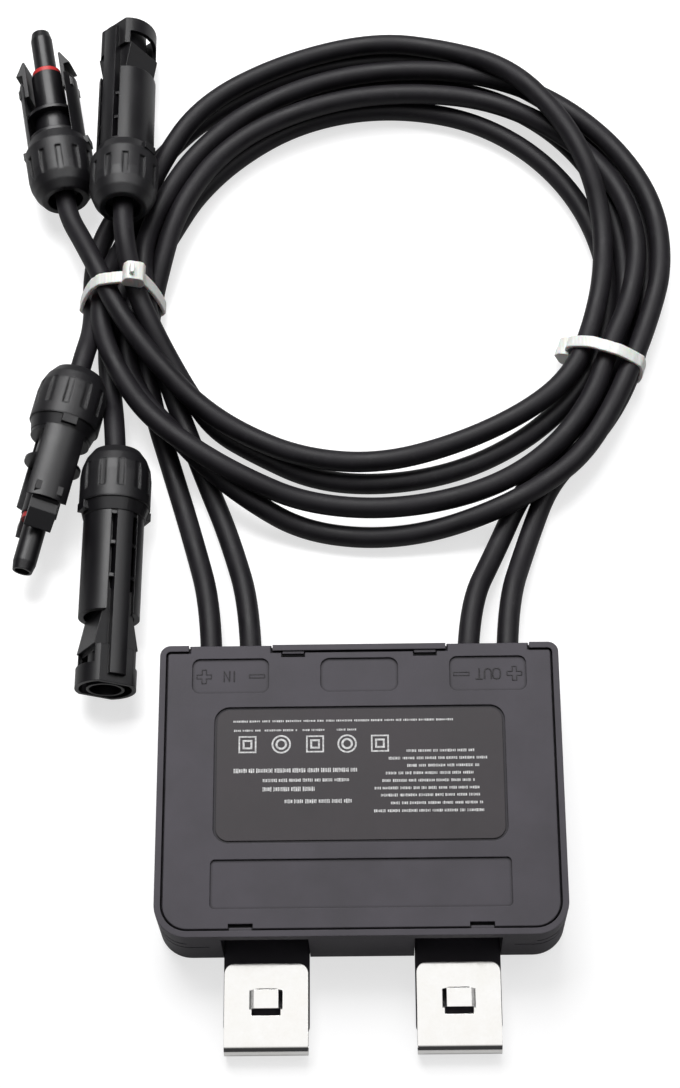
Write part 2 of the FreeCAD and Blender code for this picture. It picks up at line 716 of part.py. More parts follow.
def shroud_housing():
    r = SHROUD_R
    spine_to = SHROUD_L - SPINE_BACK
    spine = bar(BODY_FROM - 0.5, spine_to, SPINE_W / 2, r).common(rod(r, BODY_FROM - 1, spine_to))
    core = rod(CORE_R, BODY_FROM - 1, SHROUD_CORE_TO)
    shells = side_shells(r, SPINE_W + 2 * SLOT_W, SHROUD_SHELL_TO, SHROUD_RIBS)
    half_h = SHROUD_END_H / 2
    slots = flat_rod(SHROUD_END_R - LATCH_WALL, half_h - LATCH_WALL, SHROUD_END_FROM + 1, SHROUD_L + 1)
    tube_r = SHROUD_MOUTH_R + SHROUD_MOUTH_WALL
    window_l, window_h = SHROUD_WINDOW
    window = bar(SHROUD_END_FROM, SHROUD_END_FROM + window_l, r + 1, window_h / 2)
    window = window.cut(bar(SHROUD_END_FROM - 1, SHROUD_L, tube_r, r))
    hoop = flat_rod(SHROUD_END_R, half_h, SHROUD_END_FROM, SHROUD_L).cut(slots).cut(window)
    tube = rod(tube_r, SHROUD_END_FROM, SHROUD_L)
    body = joined([plug_base(PLUG_HOLE_TO), core, spine, shells, shroud_neck(), hoop, tube])
    body = body.cut(rod(PIN_R, PLUG_HOLE_TO - 1, SHROUD_L))
    body = body.cut(window)
    return body.cut(rod(SHROUD_MOUTH_R, SHROUD_L - SHROUD_MOUTH_L, SHROUD_L + 1))


def shroud_contact():
    tip = Part.makeCone(PIN_R, PIN_R * 0.5, 3.0, V(PIN_TO - 3.0, 0, 0), V(1, 0, 0))
    return joined([rod(PIN_R, PLUG_HOLE_TO, PIN_TO - 3.0), tip])


def latch_arm():
    # Arm that carries on from a side wall, thin behind the barb at its end
    barb = ARM_TO - ARM_BARB_L
    outline = [(NOSE_SHELL_TO - 4, ARM_IN), (ARM_TO, ARM_IN), (ARM_TO, ARM_IN + ARM_T * 0.5),
               (barb, ARM_BARB_R), (barb, ARM_IN + ARM_T), (NOSE_SHELL_TO + 0.8, ARM_IN + ARM_T),
               (NOSE_SHELL_TO - 1.5, NOSE_BODY_R - 0.3), (NOSE_SHELL_TO - 4, NOSE_BODY_R - 0.3)]
    points = [V(t, y, -ARM_W / 2) for t, y in outline]
    return Part.Face(Part.makePolygon(points + points[:1])).extrude(V(0, 0, ARM_W))


def nose_tube():
    tip_from = NOSE_L - NOSE_TIP_L
    tip = Part.makeCone(NOSE_TUBE_R, NOSE_TIP_R, NOSE_TIP_L, V(tip_from, 0, 0), V(1, 0, 0))
    return joined([rod(NOSE_TUBE_R, NOSE_CORE_TO, tip_from), tip])


def nose_housing():
    r = NOSE_BODY_R
    core = rod(CORE_R, BODY_FROM - 1, NOSE_RIBS[0])
    stem = rod(NOSE_CORE_R, NOSE_RIBS[0] - 1, NOSE_CORE_TO)
    arm = latch_arm()
    other = arm.mirror(V(0, 0, 0), V(0, 1, 0))
    body = joined([plug_base(PLUG_HOLE_TO), core, stem, nose_tube(),
                   side_shells(r, NOSE_OPENING, NOSE_SHELL_TO, NOSE_RIBS), arm, other])
    body = body.cut(rod(SOCKET_R, PLUG_HOLE_TO - 1, NOSE_L - SOCKET_SINK))
    return body.cut(rod(NOSE_BORE_R, NOSE_L - SOCKET_SINK - 1, NOSE_L + 1))


def nose_contact():
    end = NOSE_L - SOCKET_SINK
    return rod(SOCKET_R, PLUG_HOLE_TO, end).cut(rod(SOCKET_HOLE_R, end - SOCKET_HOLE_L, end + 1))


def nose_ring():
    ring = rod(RING_R, NOSE_CORE_TO, NOSE_CORE_TO + RING_W)
    return ring.cut(nose_tube())


# Cables: straight runs joined by arcs, swept as round tubes


def arc_route(points):
    # Edges of the route, the radius at each bend and the length along it
    edges, radii, length = [], [], 0.0
    last = points[0]
    for before, corner, after in zip(points, points[1:], points[2:]):
        back, ahead = before - corner, after - corner
        trim = 0.45 * min(back.Length, ahead.Length)
        back.normalize()
        ahead.normalize()
        half_turn = (math.pi - back.getAngle(ahead)) / 2
        radius = trim / math.tan(half_turn)
        start, end = corner + back * trim, corner + ahead * trim
        middle = (back + ahead).normalize()
        depth = radius / math.cos(half_turn) - radius
        edges.append(Part.LineSegment(last, start).toShape())
        edges.append(Part.Arc(start, corner + middle * depth, end).toShape())
        length += (start - last).Length + radius * 2 * half_turn
        radii.append(round(radius, 1))
        last = end
    edges.append(Part.LineSegment(last, points[-1]).toShape())
    return edges, radii, length + (points[-1] - last).Length


def cable(name, points):
    edges, radii, length = arc_route(points)
    along = points[1] - points[0]
    end = Part.Wire([Part.Circle(points[0], along, CABLE_R).toShape()])
    tube = Part.Wire(edges).makePipeShell([end], True, False)
    print(name, "radii", radii, "length", round(length, 1), "volume over section",
          round(tube.Volume / (math.pi * CABLE_R ** 2), 1))
    return tube


def lead(name):
    side, place, rest = LEAD_ROUTES[name]
    x = side * CABLE_X[place]
    points = [V(x, LUG_BACK - LUG_BORE_L, CABLE_Z), V(x, LEAD_OUT_Y, CABLE_Z)]
    return cable(name, points + [V(*p) for p in rest])


def tail(name):
    place, end = TAIL_ENDS[name]
    return cable(name, [plug_point(place, CABLE_IN_PLUG), plug_point(place, -PLUG_LEAD_OUT), V(*end)])


# Ties and the ring of cable that they hold


def tie_loop(place):
    x, y, width, top, turn = place
    half = width / 2

    def frame(grow, z0, z1, r):
        wire = rounded_outline(-half - grow, half + grow, z0, z1, (r,) * 4, 0)
        return Part.Face(wire).extrude(V(0, 0, TIE_W))

    band = frame(TIE_T, 0, top + TIE_T, TIE_R + TIE_T).cut(frame(0, TIE_T, top, TIE_R))
    band.rotate(V(0, 0, 0), V(1, 0, 0), 90)
    band.translate(V(0, TIE_W / 2, 0))
    return band


def tie(place, head_on_top):
    x, y, width, top, turn = place
    head_w, head_l, head_h = TIE_HEAD
    loop = tie_loop(place)
    if head_on_top:
        left, low = TIE_HEAD_FROM, top + TIE_T * 0.5
        head = rounded_block(left, left + head_w, -head_l / 2, head_l / 2, low, low + head_h, 0.9)
        stub = box(left + head_w * 0.3, left + head_w * 0.7, head_l / 2 - 1,
                   head_l / 2 + TIE_TAIL, low + head_h * 0.4, low + head_h * 0.4 + TIE_T)
    else:
        side = -width / 2 - TIE_T * 0.5
        z0 = (top - head_w) / 2
        head = box(side - head_h, side, -head_l / 2, head_l / 2, z0, z0 + head_w)
        head = head.makeFillet(0.9, [e for e in head.Edges if abs(e.Length - head_h) < 1e-6])
        stub = box(side - head_h * 0.6, side - head_h * 0.6 + TIE_T, head_l / 2 - 1,
                   head_l / 2 + TIE_TAIL, z0 + head_w * 0.3, z0 + head_w * 0.7)
    whole = joined([loop, head, stub])
    whole.rotate(V(0, 0, 0), V(0, 0, 1), turn)
    whole.translate(V(x, y, 0))
    return whole


def closed_outline(corners):
    # Closed outline of straight runs joined by arcs, rounded at each corner
    points = [V(x, y, 0) for x, y in corners]
    start = (points[-1] + points[0]) * 0.5
    edges = arc_route([start] + points + [start])[0]
    return Part.Face(Part.Wire(edges))


def tied_hump():
    # The strands that climb over the others at the left tie
    x, y, width, top, turn = TIE_LEFT
    heights = (RING_H - 1, top, top, RING_H - 1)
    points = [V(-HUMP_W / 2, along, z) for along, z in zip(HUMP_Y, heights)]
    hump = Part.Face(Part.makePolygon(points + points[:1])).extrude(V(HUMP_W, 0, 0))
    hump.rotate(V(0, 0, 0), V(0, 0, 1), HUMP_TURN)
    hump.translate(V(x, y, 0))
    return hump


def cable_ring(neighbours):
    upright = V(0, 0, RING_H)
    ring = closed_outline(RING_OUTSIDE).extrude(upright).cut(closed_outline(RING_INSIDE).extrude(upright))
    level = [e for e in ring.Edges if e.BoundBox.ZLength < 1e-3]
    ring = ring.makeChamfer(RING_EDGE, level).fuse(tied_hump())
    room = joined([rod(NUT_R + PLUG_ROOM, -2, BODY_FROM), rod(NOSE_BODY_R + PLUG_ROOM, NUT_L, SHROUD_L)])
    for place in PLUGS.values():
        ring = ring.cut(laid(room, place))
    for shape in neighbours:
        ring = ring.cut(shape)
    return max(ring.Solids, key=lambda s: s.Volume)


def main():
    save("case_tub", case_tub())
    save("case_lid", case_lid())
    save("lid_gasket", gasket_ring())
    save("label_plate", label_plate())
    save("circuit_board", circuit_board())
    save("board_screws", board_screws())
    save("heat_spreader", heat_spreader())
    save("thermal_pad", thermal_pad())
    save("inductors", inductors())
    save("capacitors", capacitors())
    save("power_switches", power_switches())
    save("control_chip", control_chip())
    save("terminal_lugs", terminal_lugs())
    for name, x in zip(("in_plus", "in_minus", "out_plus", "out_minus"),
                       (-CABLE_X[0], -CABLE_X[1], CABLE_X[0], CABLE_X[1])):
        save("grommet_" + name, grommet(x))
    for name, shape in zip(("clip_right", "clip_left"), both_sides(clip())):
        save(name, shape)
    nut, seal = cap_nut(), plug_seal()
    housings = {"nose": (nose_housing(), nose_contact()), "shroud": (shroud_housing(), shroud_contact())}
    for name, place in PLUGS.items():
        housing, contact = housings[name.split("_")[1]]
        save(name + "_housing", laid(housing, place))
        save(name + "_contact", laid(contact, place))
        save(name + "_nut", laid(nut, place))
        save(name + "_seal", laid(seal, place))
        if name.endswith("nose"):
            save(name + "_ring", laid(nose_ring(), place))
    cables = {name: lead(name) for name in LEAD_ROUTES}
    cables.update({name: tail(name) for name in TAIL_ENDS})
    for name, shape in cables.items():
        save(name, shape)
    ties = {"tie_left": tie(TIE_LEFT, True), "tie_right": tie(TIE_RIGHT, False)}
    for name, shape in ties.items():
        save(name, shape)
    save("cable_ring", cable_ring(list(cables.values()) + list(ties.values())))


main()
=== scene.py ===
# Solar power optimizer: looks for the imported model, in metres, in the model's own frame
import math
import random

import bpy
import bmesh
from mathutils import Matrix, Vector


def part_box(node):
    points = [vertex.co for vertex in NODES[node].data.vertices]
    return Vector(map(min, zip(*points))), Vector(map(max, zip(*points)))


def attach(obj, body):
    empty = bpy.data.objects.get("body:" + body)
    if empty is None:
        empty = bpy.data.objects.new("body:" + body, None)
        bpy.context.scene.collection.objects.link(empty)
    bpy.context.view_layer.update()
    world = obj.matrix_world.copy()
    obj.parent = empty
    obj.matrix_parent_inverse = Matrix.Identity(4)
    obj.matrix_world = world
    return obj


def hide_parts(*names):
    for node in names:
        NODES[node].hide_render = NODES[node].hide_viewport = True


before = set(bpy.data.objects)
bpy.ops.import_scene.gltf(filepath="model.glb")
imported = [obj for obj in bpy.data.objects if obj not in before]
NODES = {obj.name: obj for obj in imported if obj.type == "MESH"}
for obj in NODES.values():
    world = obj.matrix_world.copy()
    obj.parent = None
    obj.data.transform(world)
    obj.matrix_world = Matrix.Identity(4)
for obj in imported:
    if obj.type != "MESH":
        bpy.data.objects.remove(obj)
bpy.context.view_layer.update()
MM = 0.001
WHITE = (1.0, 1.0, 1.0, 1.0)
scene = bpy.context.scene
scene.view_settings.view_transform = "Standard"

# Camera: place in millimetres, angles in degrees, sensor in millimetres, focal length and picture in pixels
CAMERA_PLACE = (5.571, -184.286, 614.2)
CAMERA_TILT, CAMERA_YAW, CAMERA_ROLL = 66.0, -2.246, -2.771
SENSOR, FOCAL_LENGTH, PICTURE = 36.0, 2440.0, 1088.0

# Light: the even fill, what gloss sees near the horizon, and the heights between which that turns bright
FILL = (0.06, 0.06, 0.063, 1.0)
GLOSS_LOW = (0.04, 0.04, 0.042, 1.0)
CEILING_FROM, CEILING_TO = 0.64, 0.9
# Lamps: name, place and size in metres, watts; each points at the same place on the table
LAMPS = (("key", (-0.2, 0.85, 1.05), 0.9, 18.5), ("fill", (0.8, 0.45, 1.15), 0.9, 4.0))
LAMPS_AIM = (0.0, 0.1, 0.0)
# Table: half width and depth under the part in metres, its two tones, its glow and the share gloss sees
TABLE_HALF, TABLE_DROP = 3.0, 0.0002
TABLE_TONES = ((166, 166, 167), (172, 172, 172))
TABLE_GLOW, TABLE_IN_GLOSS = 0.69, 0.3

# Edges: cosine between a face and its rounded form where an edge begins, and where it is full
EDGE_FROM, EDGE_TO = 0.995, 0.86
# Painted shade in inside corners: reach in millimetres, and the openness where that painted shade is darkest
# and where it ends
CREASE_REACH, CREASE_SHUT, CREASE_OPEN = 0.9, 0.55, 0.93
# Shades of moulded plastic, made from its own tone: painted shade for inside corners, dark, light, and a
# paler edge tone that is partly rubbed wear and partly painted highlight, as scale and lift
SHADES = ((0.4, 0), (0.9, 0), (1.08, 2), (1.35, 16))


def make_camera():
    # Camera over the front of the case, looking down at it
    tilt, yaw, roll = (math.radians(a) for a in (CAMERA_TILT, CAMERA_YAW, CAMERA_ROLL))
    forward = Vector((math.sin(yaw) * math.cos(tilt), math.cos(yaw) * math.cos(tilt), -math.sin(tilt)))
    level = Vector((math.cos(yaw), -math.sin(yaw), 0.0))
    over = level.cross(forward)
    right = level * math.cos(roll) + over * math.sin(roll)
    up = over * math.cos(roll) - level * math.sin(roll)
    data = bpy.data.cameras.new("camera")
    data.sensor_width = SENSOR
    data.lens = SENSOR * FOCAL_LENGTH / PICTURE
    data.clip_start, data.clip_end = 0.01, 20.0
    cam = bpy.data.objects.new("camera", data)
    scene.collection.objects.link(cam)
    place = Matrix((right, up, -forward)).transposed().to_4x4()
    place.translation = Vector(CAMERA_PLACE) * MM
    cam.matrix_world = place
    scene.camera = cam


# Cables, in millimetres: their thickness
CABLE_D = 5.8
# Points of their middle lines, in millimetres, from the case through the ring to the connector
IN_PLUS = (
    (-39, 40, 10.2), (-39, 64, 10.2), (-45.6, 90, 3.1), (-52.3, 112.5, 3), (-57.3, 129, 3),
    (-59.4, 142, 3), (-59.4, 154, 3.4), (-58.2, 164.5, 4.7), (-55.4, 175.5, 8.2), (-53, 186, 8.8),
    (-48, 198, 8.6), (-39.5, 210.5, 8.6), (-26, 221, 8.6), (-5, 229, 8.7), (17, 231, 8.7),
    (40, 228, 8.7), (60, 217, 8.7), (75, 200.5, 8.7), (81.4, 180, 9), (78, 160, 9.3),
    (70.9, 144, 9.8), (65.5, 128, 9.2), (53, 111.5, 8.7), (35, 100.3, 8.7), (10, 95, 8.7),
    (-14, 97, 8.9), (-32, 103.5, 13.8), (-46.5, 112.5, 15), (-58, 123, 13.6), (-65.6, 135.6, 10.2),
    (-71.5, 148.4, 10.7), (-73, 161, 10), (-70.8, 173.5, 6.4), (-67, 184, 3), (-62.5, 196, 2.9),
    (-57.4, 208, 7), (-45.5, 227.5, 8.9), (-22, 241.8, 8.7), (6, 249.4, 8.7), (27.5, 245.2, 9.8),
    (45.5, 234.8, 15.2), (59, 219, 15.2), (67, 202.5, 14.8), (71, 186, 10), (70.5, 168, 9.2),
    (66.5, 151, 9.8), (60.5, 136, 9.6), (48, 125, 8.8), (28, 115, 8.7), (6, 109, 8.7),
    (-15, 111, 8.8), (-32, 118.5, 9.3), (-44.6, 127.2, 10.8), (-54.8, 138, 13.4),
    (-62.2, 147.4, 15), (-68.2, 157.2, 15.6), (-73, 168, 15.4), (-78.2, 179.5, 12.6),
    (-82.7, 188.5, 10.7), (-84.6, 198.3, 10.2), (-86.1, 207.2, 9.9),
)
IN_MINUS = (
    (-28.5, 40, 10.2), (-28.5, 64, 10.2), (-35.4, 89.8, 3.1), (-42.5, 108, 3), (-49.5, 127, 3.4),
    (-55.4, 143.5, 5.7), (-59.2, 157, 9.6), (-61, 169.5, 10.2), (-60.6, 182, 9.4),
    (-55.3, 196, 8.9), (-46.5, 211, 8.7), (-32, 225, 8.7), (-11, 235.3, 8.7), (12, 239.3, 8.7),
    (36, 237.5, 8.7), (57, 229, 8.7), (75, 212.7, 8.7), (86.3, 192, 8.8), (87.6, 170.5, 9),
    (82.5, 153, 9.3), (76.7, 138, 9.9), (70.5, 124.5, 9.3), (62, 111, 9.1), (51, 102, 9.2),
    (38, 94.6, 9), (20, 90.3, 3.8), (2, 88.9, 2.9), (-16, 92, 3.1), (-30, 99, 8), (-42, 109, 8.9),
    (-52, 120.5, 8.9), (-60.6, 131, 7.2), (-65, 143, 3.7), (-65.2, 154.5, 4.1), (-63, 166, 4.1),
    (-58.6, 177, 3), (-53, 188, 2.9), (-46.5, 200, 2.9), (-35.5, 212, 2.9), (-20, 222.7, 2.9),
    (-2, 228.3, 2.9), (17, 228.7, 2.9), (36, 224, 2.9), (53, 212.5, 2.9), (65.5, 196, 2.9),
    (72.2, 176, 2.9), (71.7, 157, 3.6), (66.8, 140.5, 4.3), (58, 128.5, 3.3), (45, 117.5, 2.9),
    (28, 109, 2.9), (8, 105.2, 2.9), (-12, 106.8, 2.9), (-29, 115.8, 2.9), (-39.4, 122.4, 3.4),
    (-46, 130.6, 6.4), (-51.8, 140, 9.9), (-57.6, 150.2, 14.8), (-62.8, 162.4, 16.8),
    (-65.7, 177, 21.6), (-66.1, 191, 19.3), (-66.3, 198, 18.1),
)
OUT_MINUS = (
    (28.5, 40, 10.2), (28.5, 64, 10.2), (38, 86, 3.1), (44.5, 101, 3), (54.5, 115.5, 2.9),
    (66, 128.5, 3.5), (73, 143, 4.3), (76.8, 160, 3.4), (77.1, 180, 2.9), (72.5, 202, 2.9),
    (59, 221, 2.9), (38, 234, 2.9), (14, 237.6, 2.9), (-10, 234.6, 2.9), (-32.5, 225, 2.9),
    (-48.5, 211, 2.9), (-56.7, 196, 2.9), (-62, 182, 3), (-66.9, 169.5, 4), (-70.3, 158, 4.1),
    (-71, 146.5, 3.3), (-69.2, 133.5, 3.4), (-67.2, 120, 10.5), (-66.4, 105, 10.1),
    (-66.5, 99.2, 9.9),
)
OUT_PLUS = (
    (39, 40, 10.2), (39, 64, 10.2), (46.2, 87.5, 3.1), (52.8, 105, 3), (63.2, 116, 2.9),
    (72.8, 128.8, 3.5), (79.2, 144, 4.3), (82.9, 163, 3.4), (84.2, 186, 2.9), (77, 209, 2.9),
    (61, 229, 2.9), (38, 243.5, 2.9), (10, 247.5, 2.9), (-18, 242.8, 2.9), (-44, 228, 2.9),
    (-60, 210, 2.9), (-70, 194, 2.9), (-74.9, 182, 3), (-75.9, 170.5, 4.1), (-75.1, 160, 4.5),
    (-75.4, 151.4, 7), (-76.7, 142.9, 10.4), (-78.8, 132.9, 10.5), (-80.7, 124.1, 10.4),
)
# Cables: name, points, length in metres, connector and the pieces that only this kind of connector has
CORDS = (
    ("in_plus", IN_PLUS, 1.055, "in_nose", ("ring",)),
    ("in_minus", IN_MINUS, 1.042, "in_shroud", ()),
    ("out_minus", OUT_MINUS, 0.434, "out_shroud", ()),
    ("out_plus", OUT_PLUS, 0.435, "out_nose", ("ring",)),
)

# Cable ties, in millimetres: strap width and thickness, room round the strands, softening of its edges
TIE_W, TIE_T, TIE_GAP, TIE_SOFT = 3.6, 1.1, 0.5, 0.35
# Steps round the strap's loop, then the steps to each side that bow its flats, and their turn in radians
TIE_STEPS, TIE_BOW, TIE_BOW_TURN = 120, 8, 0.07
# Locking head: its length, how far it sinks into the strap, and how much narrower the cut end in it is
TIE_HEAD_L, TIE_HEAD_SINK, TIE_END_IN = 5.8, 0.1, 0.25
# Outlines of the head and the cut end, in millimetres across and out
TIE_HEAD = (
    (-2.6, 0.0), (2.6, 0.0), (3.1, 1.0), (3.1, 3.0), (2.4, 4.4),
    (1.4, 4.8), (-1.4, 4.8), (-2.4, 4.4), (-3.1, 3.0), (-3.1, 1.0),
)
TIE_END = ((-1.6, 3.0), (-0.4, 3.0), (-0.4, 6.3), (-1.6, 6.0))
# Ties: name, middle, turn about the vertical, outer strands held as across, up, and the head's direction
TIES = (
    ("tie_left", (-65.8, 162.6), -2.0,
     ((7.0, 4.7), (2.2, 4.6), (-3.1, 4.6), (-9.2, 4.7), (5.8, 10.0), (-6.4, 9.5), (3.4, 17.1), (-4.9, 15.5)),
     76.0),
    ("tie_right", (70.2, 141.5), -19.0,
     ((-7.4, 9.3), (-1.2, 11.8), (6.5, 9.3), (-3.8, 4.6), (1.2, 4.6), (6.6, 4.6)),
     205.0),
)

# Fields over the leads, in millimetres: their middle, and how far plus and minus stand from it
FIELD_X, FIELD_Y, SIGN_X = 33.5, 42.8, 6.9
# Half length and half width of the arms of plus and minus, half the letters' height, and line thickness
PLUS_HALF, PLUS_ARM, MINUS_HALF, MINUS_ARM, LETTER_HALF = 1.9, 0.55, 2.0, 0.45, 1.45
SIGN_LINE, LETTER_LINE = 0.26, 0.3
# Letters as lines, in units of half their height from their middle
O_WIDTH = 0.68
LETTERS = {
    "I": ([(0, -1), (0, 1)],),
    "N": ([(-0.5, -1), (-0.5, 1), (0.5, -1), (0.5, 1)],),
    "U": ([(-0.6, 1), (-0.6, -0.35), (-0.42, -0.85), (0, -1), (0.42, -0.85), (0.6, -0.35), (0.6, 1)],),
    "T": ([(-0.65, 1), (0.65, 1)], [(0, 1), (0, -1)]),
}
# Words over the leads: side, letters, millimetres from letter to letter
FIELD_WORDS = ((-1, "IN", 1.9), (1, "OUT", 2.25))

# Plain rows on the label, from its middle in millimetres: start, end, height above, size
PRINT_ROWS = (
    (-32.6, 24.2, 14.4, 0.6), (-32.4, -25.7, 11.9, 0.6), (-24.5, -16.0, 11.9, 0.6), (-14.7, -8.6, 11.9, 0.6),
    (-5.9, -0.5, 11.9, 0.6), (-32.4, -0.8, 1.0, 1.25), (-24.9, -2.7, -1.65, 0.95), (-24.9, -11.7, -4.0, 1.3),
    (-19.3, -2.1, -7.3, 1.15), (12.0, 29.3, 6.0, 0.8), (7.4, 32.6, 4.0, 0.8), (12.1, 30.4, 2.0, 0.8),
    (6.6, 29.0, 0.0, 0.8), (5.7, 29.3, -2.0, 0.8), (3.7, 30.4, -4.0, 0.8), (5.3, 30.6, -5.9, 0.8),
    (7.8, 31.2, -8.0, 0.8), (3.5, 32.3, -10.05, 0.8),
)
# Groups of bars in a row, in millimetres: length, space after, and the room that ends the row
GROUP_LENGTH, GROUP_SPACE, ROW_SPARE = (1.2, 4.2), (0.3, 0.5), 0.4
# Bars in a group: width, space after in millimetres, and share of the row's size that they stand
BAR_WIDTH, BAR_SPACE, BAR_SHARE = (0.16, 0.42), (0.1, 0.16), (0.72, 1.0)
# Signs on the label: middles, then round ones as outer and inner radius, square ones as half width and line
ICON_X, ICON_Y = (-28.9, -20.2, -11.5, -3.25, 5.2), 8.1
ICON_ROUND, ICON_SQUARE = ((2.5, 2.05), (1.5, 0.95)), ((2.3, 0.4), (1.25, 0.5))
PRINT_LIFT = 0.02


def cord_curve(name, points, material):
    # One open smooth line through the points, as thick as the cable
    curve = bpy.data.curves.new(name, "CURVE")
    curve.dimensions = "3D"
    line = curve.splines.new("NURBS")
    line.points.add(len(points) - 1)
    for target, (x, y, z) in zip(line.points, points):
        target.co = (x * MM, y * MM, z * MM, 1.0)
    line.order_u = 3
    line.use_endpoint_u = True
    line.resolution_u = 10
    curve.bevel_depth = CABLE_D / 2 * MM
    curve.bevel_resolution = 6
    curve.use_fill_caps = True
    curve.materials.append(material)
    cable = bpy.data.objects.new(name, curve)
    scene.collection.objects.link(cable)
    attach(cable, "root")
    return cable


def linear(r, g, b):
    # Linear colour of a display colour written 0 to 255
    parts = []
    for v in (r, g, b):
        v /= 255.0
        parts.append(v / 12.92 if v <= 0.04045 else ((v + 0.055) / 1.055) ** 2.4)
    return (*parts, 1.0)


class Graph:
    # A node tree, with short ways to add to it
    def __init__(self, tree):
        self.tree = tree

    def add(self, kind, **settings):
        node = self.tree.nodes.new(kind)
        for key, value in settings.items():
            setattr(node, key, value)
        return node

    def link(self, a, b):
        self.tree.links.new(a, b)

    def ramp(self, source, low, high, a=0.0, b=1.0, **settings):
        # Numbers from a to b as the source goes from low to high
        node = self.add("ShaderNodeMapRange", **settings)
        for key, value in zip(("From Min", "From Max", "To Min", "To Max"), (low, high, a, b)):
            node.inputs[key].default_value = value
        self.link(source, node.inputs["Value"])
        return node.outputs["Result"]

    def mix(self, amount, a, b):
        # Colour from a to b
        node = self.add("ShaderNodeMix", data_type="RGBA")
        self.link(amount, node.inputs["Factor"])
        for key, value in (("A", a), ("B", b)):
            socket = [s for s in node.inputs if s.name == key and s.type == "RGBA"][0]
            if isinstance(value, tuple):
                socket.default_value = value
            else:
                self.link(value, socket)
        return [s for s in node.outputs if s.type == "RGBA"][0]

    def math(self, kind, a, b):
        node = self.add("ShaderNodeMath", operation=kind)
        for socket, value in zip(node.inputs, (a, b)):
            if isinstance(value, (int, float)):
                socket.default_value = value
            else:
                self.link(value, socket)
        return node.outputs[0]


class Surface(Graph):
    # A material with its shader, and the patterns that materials here are made of
    def __init__(self, name, rough, **values):
        self.mat = bpy.data.materials.new(name)
        self.mat.use_nodes = True
        super().__init__(self.mat.node_tree)
        self.shader = self.tree.nodes["Principled BSDF"]
        self.shader.inputs["Roughness"].default_value = rough
        for key, value in values.items():
            self.shader.inputs[key.replace("_", " ")].default_value = value
        self.place = self.add("ShaderNodeTexCoord").outputs["Object"]

    def stretched(self, scale):
        # Object coordinates scaled along each axis
        node = self.add("ShaderNodeMapping")
        node.inputs["Scale"].default_value = scale
        self.link(self.place, node.inputs["Vector"])
        return node.outputs["Vector"]

    def noise(self, size, detail=2.0, rough=0.5, stretch=None):
        # Cloudy pattern with blotches of about size millimetres
        node = self.add("ShaderNodeTexNoise")
        node.inputs["Scale"].default_value = 1.0 / (size * MM)
        node.inputs["Detail"].default_value = detail
        node.inputs["Roughness"].default_value = rough
        self.link(self.stretched(stretch) if stretch else self.place, node.inputs["Vector"])
        return node.outputs["Fac"]

    def edges(self, radius):
        # 1 on outside and inside edges, 0 on flat ground, and the rounded normal
        soft = self.add("ShaderNodeBevel", samples=4)
        soft.inputs["Radius"].default_value = radius * MM
        flat = self.add("ShaderNodeNewGeometry")
        turn = self.add("ShaderNodeVectorMath", operation="DOT_PRODUCT")
        self.link(soft.outputs["Normal"], turn.inputs[0])
        self.link(flat.outputs["Normal"], turn.inputs[1])
        return self.ramp(turn.outputs["Value"], EDGE_FROM, EDGE_TO), soft.outputs["Normal"]

    def openness(self, reach):
        # 1 on open ground, less in inside corners and narrow gaps
        node = self.add("ShaderNodeAmbientOcclusion", samples=4)
        node.inputs["Distance"].default_value = reach * MM
        return node.outputs["AO"]

    def bump(self, height, depth, normal=None, strength=1.0):
        # Normal over a pattern that stands up to depth millimetres
        node = self.add("ShaderNodeBump")
        node.inputs["Strength"].default_value = strength
        node.inputs["Distance"].default_value = depth * MM
        self.link(height, node.inputs["Height"])
        if normal is not None:
            self.link(normal, node.inputs["Normal"])
        return node.outputs["Normal"]

    def colour(self, socket):
        self.link(socket, self.shader.inputs["Base Color"])

    def rough(self, socket):
        self.link(socket, self.shader.inputs["Roughness"])

    def normal(self, socket):
        self.link(socket, self.shader.inputs["Normal"])


def moulded(name, tone, rough, grain=0.35, depth=0.02, wear_and_glint=0.35, edge=0.3, **values):
    # Moulded plastic: spark grain, faint flow clouds, edges a little lighter in patches as rubbed wear and
    # partly as painted highlight, painted shade in inside corners
    s = Surface(name, rough, **values)
    painted_shade, dark, light, paler = (
        linear(*[min(255, v * scale + lift) for v in tone]) for scale, lift in SHADES)
    clouds = s.noise(18.0, 3.0)
    fine = s.noise(grain, 3.0, 0.6)
    mask, soft = s.edges(edge)
    # Paler edges in patches: partly rubbed wear, partly painted edge highlight
    scuff_and_glint = s.math("MULTIPLY", mask, s.ramp(s.noise(2.5, 4.0, 0.65), 0.42, 0.62, 0.15, 1.0))
    ground = s.mix(s.ramp(clouds, 0.3, 0.7), dark, light)
    # Painted shade: the colour goes towards a deep shade of the tone in inside corners and narrow gaps
    ground = s.mix(s.ramp(s.openness(CREASE_REACH), CREASE_SHUT, CREASE_OPEN), painted_shade, ground)
    s.colour(s.mix(s.math("MULTIPLY", scuff_and_glint, wear_and_glint), ground, paler))
    s.rough(s.math("ADD", s.ramp(clouds, 0.3, 0.7, rough - 0.05, rough + 0.05),
                   s.ramp(fine, 0.3, 0.7, -0.04, 0.04)))
    s.normal(s.bump(fine, depth, soft))
    return s.mat


def cable_jacket():
    # Extruded black jacket: satin, fine drawn grain, faint dust and rubbed patches
    s = Surface("cable_jacket", 0.5, Specular_IOR_Level=0.29)
    clouds = s.noise(11.0, 4.0, 0.6)
    grain = s.noise(0.45, 2.0)
    paler = s.ramp(s.noise(4.0, 5.0, 0.7), 0.58, 0.72, 0.0, 0.6)
    ground = s.mix(s.ramp(clouds, 0.35, 0.7), linear(20, 18, 22), linear(31, 29, 33))
    s.colour(s.mix(paler, ground, linear(43, 41, 45)))
    s.rough(s.math("ADD", s.ramp(clouds, 0.3, 0.7, 0.46, 0.6), s.ramp(grain, 0.3, 0.7, -0.03, 0.03)))
    s.normal(s.bump(grain, 0.01))
    return s.mat


